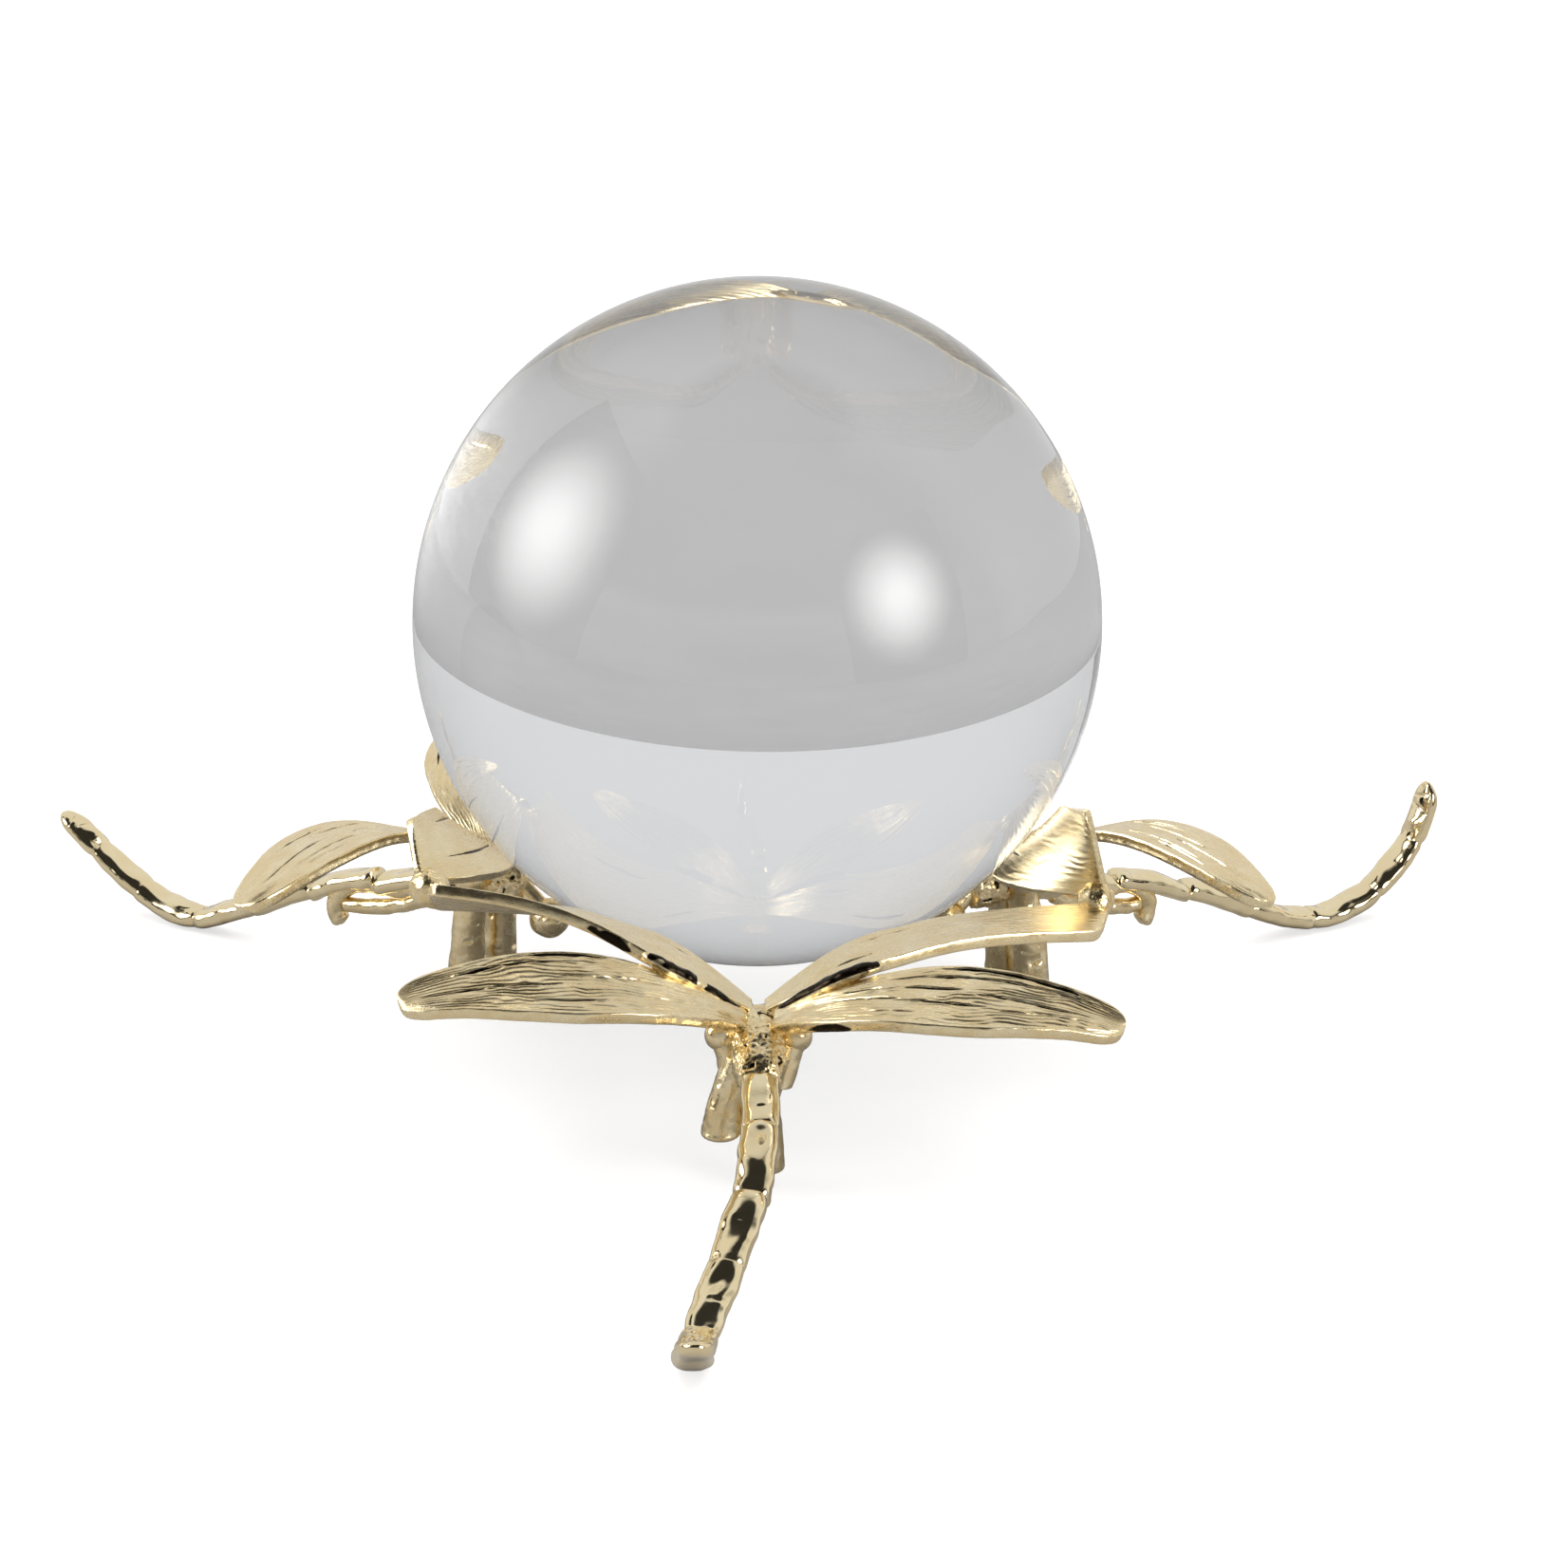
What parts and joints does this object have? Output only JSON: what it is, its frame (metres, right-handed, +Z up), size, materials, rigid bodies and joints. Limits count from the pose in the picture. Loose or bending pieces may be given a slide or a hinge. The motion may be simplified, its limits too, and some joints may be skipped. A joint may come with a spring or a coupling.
{
  "type": "crystal ball on stand",
  "caption": "Clear glass ball resting loose on a gold cast stand of dragonflies whose inner wings cup it and whose tails curl up at the ends.",
  "frame": {"origin": "on the table plane, straight below the ball's centre", "axes": "+Z up; -Y towards the front dragonfly's tail; +X to the right as one faces the front"},
  "size_m": [0.1759, 0.158, 0.0945],
  "materials": {
    "clear_glass": "clear, polished",
    "gold_plate": "pale gold plating over a cast metal, part polished and part grained",
    "gold_solder": "plated solder, smooth and bright"
  },
  "bodies": {
    "stand": {"front_dragonfly_thorax": "gold_plate", "front_dragonfly_head": "gold_plate", "front_dragonfly_abdomen": "gold_plate", "front_dragonfly_rear_leg": "gold_plate", "front_dragonfly_left_inner_wing": "gold_plate", "front_dragonfly_left_outer_wing": "gold_plate", "front_dragonfly_left_front_leg": "gold_plate", "front_dragonfly_right_inner_wing": "gold_plate", "front_dragonfly_right_outer_wing": "gold_plate", "front_dragonfly_right_front_leg": "gold_plate", "left_dragonfly_thorax": "gold_plate", "left_dragonfly_head": "gold_plate", "left_dragonfly_abdomen": "gold_plate", "left_dragonfly_rear_leg": "gold_plate", "left_dragonfly_left_inner_wing": "gold_plate", "left_dragonfly_left_outer_wing": "gold_plate", "left_dragonfly_left_front_leg": "gold_plate", "left_dragonfly_right_inner_wing": "gold_plate", "left_dragonfly_right_outer_wing": "gold_plate", "left_dragonfly_right_front_leg": "gold_plate", "right_dragonfly_thorax": "gold_plate", "right_dragonfly_head": "gold_plate", "right_dragonfly_abdomen": "gold_plate", "right_dragonfly_rear_leg": "gold_plate", "right_dragonfly_left_inner_wing": "gold_plate", "right_dragonfly_left_outer_wing": "gold_plate", "right_dragonfly_left_front_leg": "gold_plate", "right_dragonfly_right_inner_wing": "gold_plate", "right_dragonfly_right_outer_wing": "gold_plate", "right_dragonfly_right_front_leg": "gold_plate", "front_left_solder_joint": "gold_solder", "front_right_solder_joint": "gold_solder", "back_solder_joint": "gold_solder"},
    "ball": {"crystal_ball": "clear_glass"}
  },
  "joints": [
    {"name": "ball_lift", "type": "slide", "parent": "stand", "child": "ball", "axis": [0, 0, 1], "range_m": [0, 0.08]}
  ]
}
